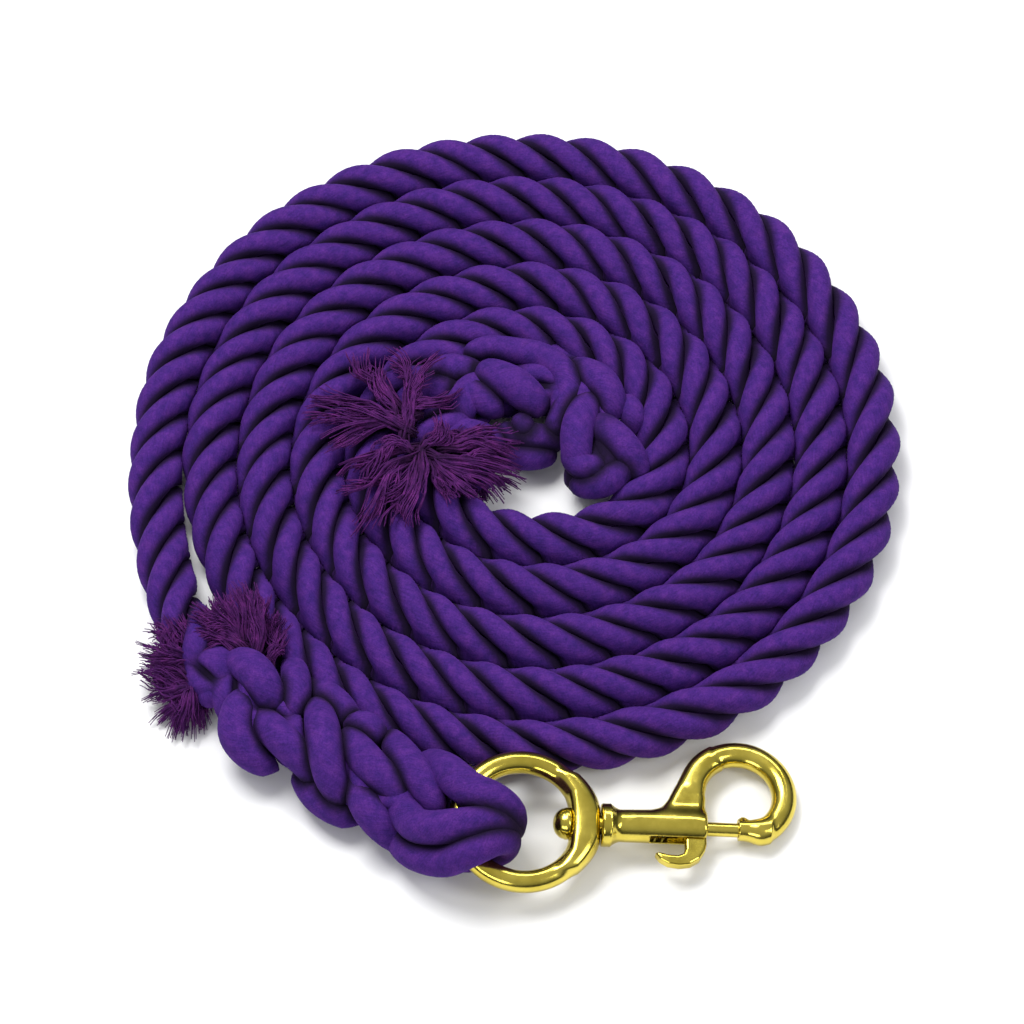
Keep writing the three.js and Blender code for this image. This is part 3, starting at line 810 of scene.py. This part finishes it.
def rod_field(x, y, z, start, end, radius, round_by=0.0):
    along = np.abs(x - (start + end) / 2) - (end - start) / 2 + round_by
    away = np.sqrt(y * y + z * z) - radius + round_by
    outside = np.sqrt(np.maximum(along, 0) ** 2 + np.maximum(away, 0) ** 2)
    return outside + np.minimum(np.maximum(along, away), 0) - round_by


def cast_mesh(name, field, low, high, cell):
    """The surface of a field, as quads whose corners lie on it. Sizes in millimetres."""
    axes = [np.arange(a - cell, b + 2 * cell, cell) for a, b in zip(low, high)]
    x, y, z = axes[0][:, None, None], axes[1][None, :, None], axes[2][None, None, :]
    values = np.broadcast_to(field(x, y, z), tuple(len(a) for a in axes))
    inside = values < 0
    shape = tuple(n - 1 for n in values.shape)
    total, count = np.zeros(shape + (3,)), np.zeros(shape)
    corners = [(i, j, k) for i in (0, 1) for j in (0, 1) for k in (0, 1)]

    def part(array, corner):
        return array[tuple(slice(c, c + n) for c, n in zip(corner, shape))]

    for corner in corners:
        for axis in range(3):
            if corner[axis]:
                continue
            other = tuple(c + (axis == k) for k, c in enumerate(corner))
            a, b = part(values, corner), part(values, other)
            crossed = (a < 0) != (b < 0)
            share = np.where(crossed, a / np.where(crossed, a - b, 1), 0)
            for k in range(3):
                total[..., k] += np.where(crossed, corner[k] + (share if k == axis else 0), 0)
            count += crossed
    used = count > 0
    number = np.full(shape, -1)
    number[used] = np.arange(used.sum())
    cells = np.argwhere(used)
    points = (cells + total[used] / count[used][:, None]) * cell
    points += [a[0] for a in axes]
    faces = []
    for axis in range(3):
        b, c = (axis + 1) % 3, (axis + 2) % 3
        here = [slice(None)] * 3
        there = [slice(None)] * 3
        here[axis], there[axis] = slice(0, -1), slice(1, None)
        starts, ends = inside[tuple(here)], inside[tuple(there)]
        for way, turned_over in ((starts & ~ends, False), (~starts & ends, True)):
            spots = np.argwhere(way)
            spots = spots[(spots[:, b] > 0) & (spots[:, c] > 0)]
            ring = []
            for db, dc in ((-1, -1), (0, -1), (0, 0), (-1, 0)):
                move = spots.copy()
                move[:, b] += db
                move[:, c] += dc
                ring.append(number[tuple(move.T)])
            quad = np.stack(ring, 1)
            faces.append(quad[:, ::-1] if turned_over else quad)
    mesh = bpy.data.meshes.new(name)
    mesh.from_pydata((points * mm).tolist(), [], np.concatenate(faces).tolist())
    mesh.polygons.foreach_set("use_smooth", [True] * len(mesh.polygons))
    mesh.update()
    return mesh


def metal_material(name, cloud, colors, roughnesses):
    """A metal whose colour and roughness drift a little over its surface."""
    material, tree, shader = new_material(name, {"Metallic": 1.0})
    here = tree.nodes.new("ShaderNodeTexCoord").outputs["Object"]
    drift = noise(tree, here, *cloud)
    tree.links.new(ramp(tree, drift, colors), shader.inputs["Base Color"])
    grey = [(place, (value, value, value)) for place, value in roughnesses]
    tree.links.new(ramp(tree, drift, grey), shader.inputs["Roughness"])
    return material, tree, shader, here


brass, tree, shader, here = metal_material(
    "polished brass", (90.0, 4.0, 0.6),
    [(0.3, (0.52, 0.41, 0.055)), (0.7, (0.70, 0.57, 0.10))], [(0.3, 0.13), (0.75, 0.24)],
)
tree.links.new(bumped(tree, noise(tree, here, 700.0, 3.0), 0.12, 0.0002), shader.inputs["Normal"])


def cast_piece(name, node, body, matrix, field, low, high, cell=0.32):
    mesh = cast_mesh(name, field, low, high, cell)
    mesh.transform(matrix)
    mesh.materials.append(brass)
    piece = add_object(name, mesh)
    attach(piece, body)
    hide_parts(node)


# ---- Swivel eye ------------------------------------------------------
# A cast ring of round bar that grows into a flat-sided hub, bored for the swivel pin.

eye_radius = 22.2
eye_bar = 8.0
hub_length = 10.4
hub_half = 17.5
hub_height = 11.4
pin_bore = 3.6
running_gap = 0.3  # between parts that turn or slide on each other


def eye_field(x, y, z):
    ring = np.sqrt((np.sqrt((x + eye_radius) ** 2 + y * y) - eye_radius) ** 2 + z * z) - eye_bar / 2
    half = hub_length / 2
    outline = [
        (-half, -0.6 * hub_half), (-half, 0.6 * hub_half), (-half - 3.4, hub_half), (half - 7.8, hub_half),
        (half, 0.66 * hub_half), (half, -0.66 * hub_half), (half - 7.8, -hub_half), (-half - 3.4, -hub_half),
    ]
    hub = plate_field(polygon_field(x, y, outline), z, hub_height, 2.0)
    rounded = np.sqrt((x + 0.02 * y * y) ** 2 + z * z) - 6.6 + 0.006 * y * y
    whole = joined(ring, cut(hub, -rounded, 1.4), 3.4)
    return cut(whole, rod_field(x, y, z, -2 * hub_length, 2 * hub_length, pin_bore), 0.4)


cast_piece("swivel_eye_casting", "swivel_eye", "swivel_eye", eye_matrix, eye_field,
           (-50, -28, -7), (7, 28, 7))


# ---- Swivel pin ------------------------------------------------------
# A turned brass pin: its domed head is inside the ring and its shank is fixed in the body.

def pin_field(x, y, z):
    head_base = -hub_length / 2 - running_gap
    dome = np.sqrt(((x - head_base + 1.6) / 1.0) ** 2 + (y * y + z * z) * 0.62) - 4.3
    head = np.maximum(dome, x - head_base)
    head = joined(head, rod_field(x, y, z, head_base - 1.9, head_base, 5.7, 0.6), 0.4)
    shank = rod_field(x, y, z, head_base - 1, hub_length / 2 + 4.5, pin_bore - running_gap, 0.3)
    return joined(head, shank, 0.3)


cast_piece("swivel_pin_turned", "swivel_pin", "snap", snap_matrix, pin_field, (-13, -7, -7), (11, 7, 7), 0.25)


# ---- Snap body -------------------------------------------------------
# One brass casting: a barrel with a collar, a web, and a round hook whose nose takes the plunger.
# It's drilled from the rear and slotted for the thumb lever.

hook_x, hook_y = 55.0, 14.0
hook_inner = 12.0
hook_bar = 9.0
hook_thick = 8.6
barrel_radius = 5.8
collar_radius = 7.7
collar_length = 3.4
body_rear = hub_length / 2 + running_gap
body_front = 43.0
nose_tip = 54.5
flare_angle = math.radians(152)
lever_thick = 4.4
neck_rear = body_front - 7.8
plunger_travel = 12.0
plunger_radius = 2.5
bore_radius = 3.6
web_thick = 8.0
web_round = 3.4
nose_radius = 3.7
nose_rear = 65.5
lip_radius = 2.1
bar_from, bar_to = -62, 172  # degrees round the hook's middle


def arc_points(centre, radius, start, end, count):
    angles = np.radians(np.linspace(start, end, count))
    return [(centre[0] + radius * math.cos(a), centre[1] + radius * math.sin(a)) for a in angles]


def body_field(x, y, z):
    collar = rod_field(x, y, z, body_rear, body_rear + collar_length, collar_radius, 0.9)
    taper = np.sqrt(y * y + z * z) - (collar_radius - (x - body_rear - collar_length) * 0.73)
    taper = np.maximum(taper * 0.81, np.abs(x - body_rear - collar_length - 1.2) - 1.4)
    barrel = rod_field(x, y, z, body_rear + 1, body_front, barrel_radius, 1.0)
    turned = joined(joined(barrel, taper, 0.9), collar, 0.5)
    flare_x, flare_y = math.cos(flare_angle), math.sin(flare_angle)
    outer = hook_inner + hook_bar
    middle = outer - hook_bar / 2
    top = (hook_x + outer * flare_x, hook_y + outer * flare_y)
    foot = (top[0] - flare_y * outer * 0.5, top[1] + flare_x * outer * 0.5)
    web_outline = [(14, -2), (16, 3.4), (23.5, 4.6), (27, 6.9), (29.6, 10.6), foot, top]
    web_outline += arc_points((hook_x, hook_y), outer, 150, 118, 8)
    web_outline += arc_points((hook_x, hook_y), hook_inner, 118, 192, 14)
    web_outline += [(body_front - 0.3, 4), (body_front - 0.3, -2)]
    web = plate_field(polygon_field(x, y, web_outline), z, web_thick, web_round)
    round_x, round_y = x - hook_x, y - hook_y
    turn = np.degrees(np.arctan2(round_y, round_x))
    turn = np.where(turn < bar_from - 60, turn + 360, turn)
    turn = np.radians(np.clip(turn, bar_from, bar_to))
    off = np.hypot(round_x - middle * np.cos(turn), round_y - middle * np.sin(turn))
    bar = (np.sqrt((off * 2 / hook_bar) ** 2 + (z * 2 / hook_thick) ** 2 + 1e-9) - 1) * hook_bar / 2
    nose = np.sqrt(y * y + (z * 0.9) ** 2) - nose_radius
    nose = np.maximum(nose, np.maximum(nose_tip - x, x - nose_rear))
    lip = np.sqrt((x - nose_tip - 1.8) ** 2 + (y - 2.9) ** 2 + (z * 0.75) ** 2) - lip_radius
    lip = np.maximum(lip, nose_tip - x)
    hook = joined(joined(bar, nose, 2.6), lip, 1.0)
    whole = joined(joined(web, hook, 1.6), turned, 3.4)
    whole = cut(whole, rod_field(x, y, z, body_rear - 2, neck_rear - 2, bore_radius), 0.3)
    whole = cut(whole, rod_field(x, y, z, neck_rear - 4, nose_tip + 1.2, plunger_radius + running_gap), 0.3)
    slot_rear = neck_rear - plunger_travel - running_gap
    slot = np.maximum(np.abs(z) - lever_thick / 2 - running_gap, np.maximum(y, slot_rear - x))
    slot = np.maximum(slot, x - body_front - 2)
    return cut(whole, slot, 0.3)


cast_piece("snap_body_casting", "snap_body", "snap", snap_matrix, body_field, (3, -10, -9), (78, 37, 9), 0.34)


# ---- Plunger ---------------------------------------------------------
# A turned brass rod that closes the hook, with a head in the barrel that the spring pushes on.

head_front = neck_rear - 2.4
head_length = 3


def plunger_field(x, y, z):
    head = rod_field(x, y, z, head_front - head_length, head_front, bore_radius - running_gap, 0.3)
    shaft = rod_field(x, y, z, head_front - 1, nose_tip + 0.9, plunger_radius, 0.5)
    return joined(head, shaft, 0.3)


cast_piece("plunger_rod", "plunger", "plunger", snap_matrix, plunger_field, (28, -4, -4), (57, 4, 4), 0.25)


# ---- Thumb lever -----------------------------------------------------
# A cast tongue on the plunger. Its neck comes out of the slot and it curls back to a pointed tip.

lever_reach = 15.8


def lever_field(x, y, z):
    tip = body_front - 18.5
    inside_y = -lever_reach + 4.2
    outline = [
        (neck_rear, -2.8), (neck_rear, inside_y + 2.6), (neck_rear - 0.6, inside_y + 0.9),
        (neck_rear - 2.6, inside_y), (neck_rear - 6, inside_y + 0.1), (tip + 1.5, inside_y + 0.9),
        (tip, inside_y + 0.4), (tip + 1.6, inside_y - 2.0), (tip + 4.6, -lever_reach + 0.5),
        (tip + 8.6, -lever_reach), (tip + 12.5, -lever_reach + 0.6), (tip + 15.8, -lever_reach + 2.8),
        (tip + 17.8, -lever_reach + 6.2), (body_front, -lever_reach + 9.0), (body_front, -2.8),
    ]
    return plate_field(polygon_field(x, y, outline), z, lever_thick, 1.2)


cast_piece("thumb_lever_casting", "thumb_lever", "plunger", snap_matrix, lever_field,
           (22, -18, -4), (45, 0, 4), 0.25)


# ---- Plunger spring --------------------------------------------------
# A coil of drawn steel wire inside the barrel. It's pressed together as the plunger comes back.

spring_steel = metal_material(
    "spring steel", (1200.0, 2.0),
    [(0.3, (0.36, 0.36, 0.35)), (0.7, (0.55, 0.55, 0.53))], [(0.3, 0.3), (0.7, 0.45)],
)[0]
spring_turns = 7
spring_wire = 0.4
spring_radius = 2.9
spring_gap = 0.7
rings_in_turn = 24
wire_sides = 10
spring_from = body_rear + 4.2 + spring_gap
spring_to = head_front - head_length - spring_gap
share = np.linspace(0, 1, rings_in_turn * spring_turns)
spring_turn = 2 * math.pi * spring_turns * share
spring_line = np.stack([
    spring_from + (spring_to - spring_from) * share,
    spring_radius * np.cos(spring_turn),
    spring_radius * np.sin(spring_turn),
], 1)
ahead = unit(np.gradient(spring_line, axis=0))
across = unit(np.cross(ahead, [1, 0, 0]))
over = np.cross(ahead, across)
wire_around = np.arange(wire_sides) / wire_sides * 2 * math.pi
wire_rings = spring_line[:, None] + (spring_wire * np.cos(wire_around))[None, :, None] * across[:, None]
wire_rings = wire_rings + (spring_wire * np.sin(wire_around))[None, :, None] * over[:, None]
spring_mesh = tube_mesh("plunger_spring_wire", [(wire_rings * mm, share, 0.0, 0.0)])
spring_mesh.transform(snap_matrix)
spring_mesh.materials.append(spring_steel)
spring = add_object("plunger_spring_wire", spring_mesh)
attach(spring, "snap")
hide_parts("plunger_spring")
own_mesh(spring)


# ---- Floor and lights ------------------------------------------------
# A pale studio sweep under broad soft lights. None of it belongs to the rope.

floor_mesh = bpy.data.meshes.new("floor")
floor_half = 3.0
floor_corners = [(-1, -1), (1, -1), (1, 1), (-1, 1)]
floor_mesh.from_pydata([(x * floor_half, y * floor_half, 0) for x, y in floor_corners], [], [(0, 1, 2, 3)])
floor = add_object("floor", floor_mesh)
floor_mesh.materials.append(new_material("pale floor", {
    "Base Color": (0.86, 0.86, 0.86, 1), "Roughness": 0.9, "Specular IOR Level": 0.1,
})[0])


def soft_light(name, place, size, power):
    light = bpy.data.lights.new(name, "AREA")
    light.shape = "RECTANGLE"
    light.size, light.size_y = size
    light.energy = power
    lamp = add_object(name, light)
    lamp.location = place
    lamp.rotation_euler = (-Vector(place)).to_track_quat("-Z", "Y").to_euler()


soft_light("key light", (-0.5, 0.5, 1.5), (0.9, 0.7), 26)
soft_light("fill light", (1.2, -0.6, 1.1), (0.5, 0.9), 9)
soft_light("front light", (-0.6, -1.5, 0.8), (1.0, 0.4), 7)
soft_light("back light", (0.15, 1.1, 1.3), (1.4, 0.25), 9)

world = bpy.data.worlds.new("studio")
world.use_nodes = True
sky = world.node_tree
direction = sky.nodes.new("ShaderNodeTexCoord")
height = sky.nodes.new("ShaderNodeSeparateXYZ")
sky.links.new(direction.outputs["Generated"], height.inputs[0])
sky_color = ramp(sky, height.outputs["Z"], [
    (0.0, (0.04, 0.04, 0.05)), (0.3, (0.16, 0.17, 0.19)), (0.55, (0.62, 0.64, 0.68)), (1.0, (1.0, 1.0, 1.0)),
])
sky.links.new(sky_color, sky.nodes["Background"].inputs["Color"])
sky.nodes["Background"].inputs["Strength"].default_value = 0.62
bpy.context.scene.world = world
bpy.context.scene.view_settings.view_transform = "Standard"
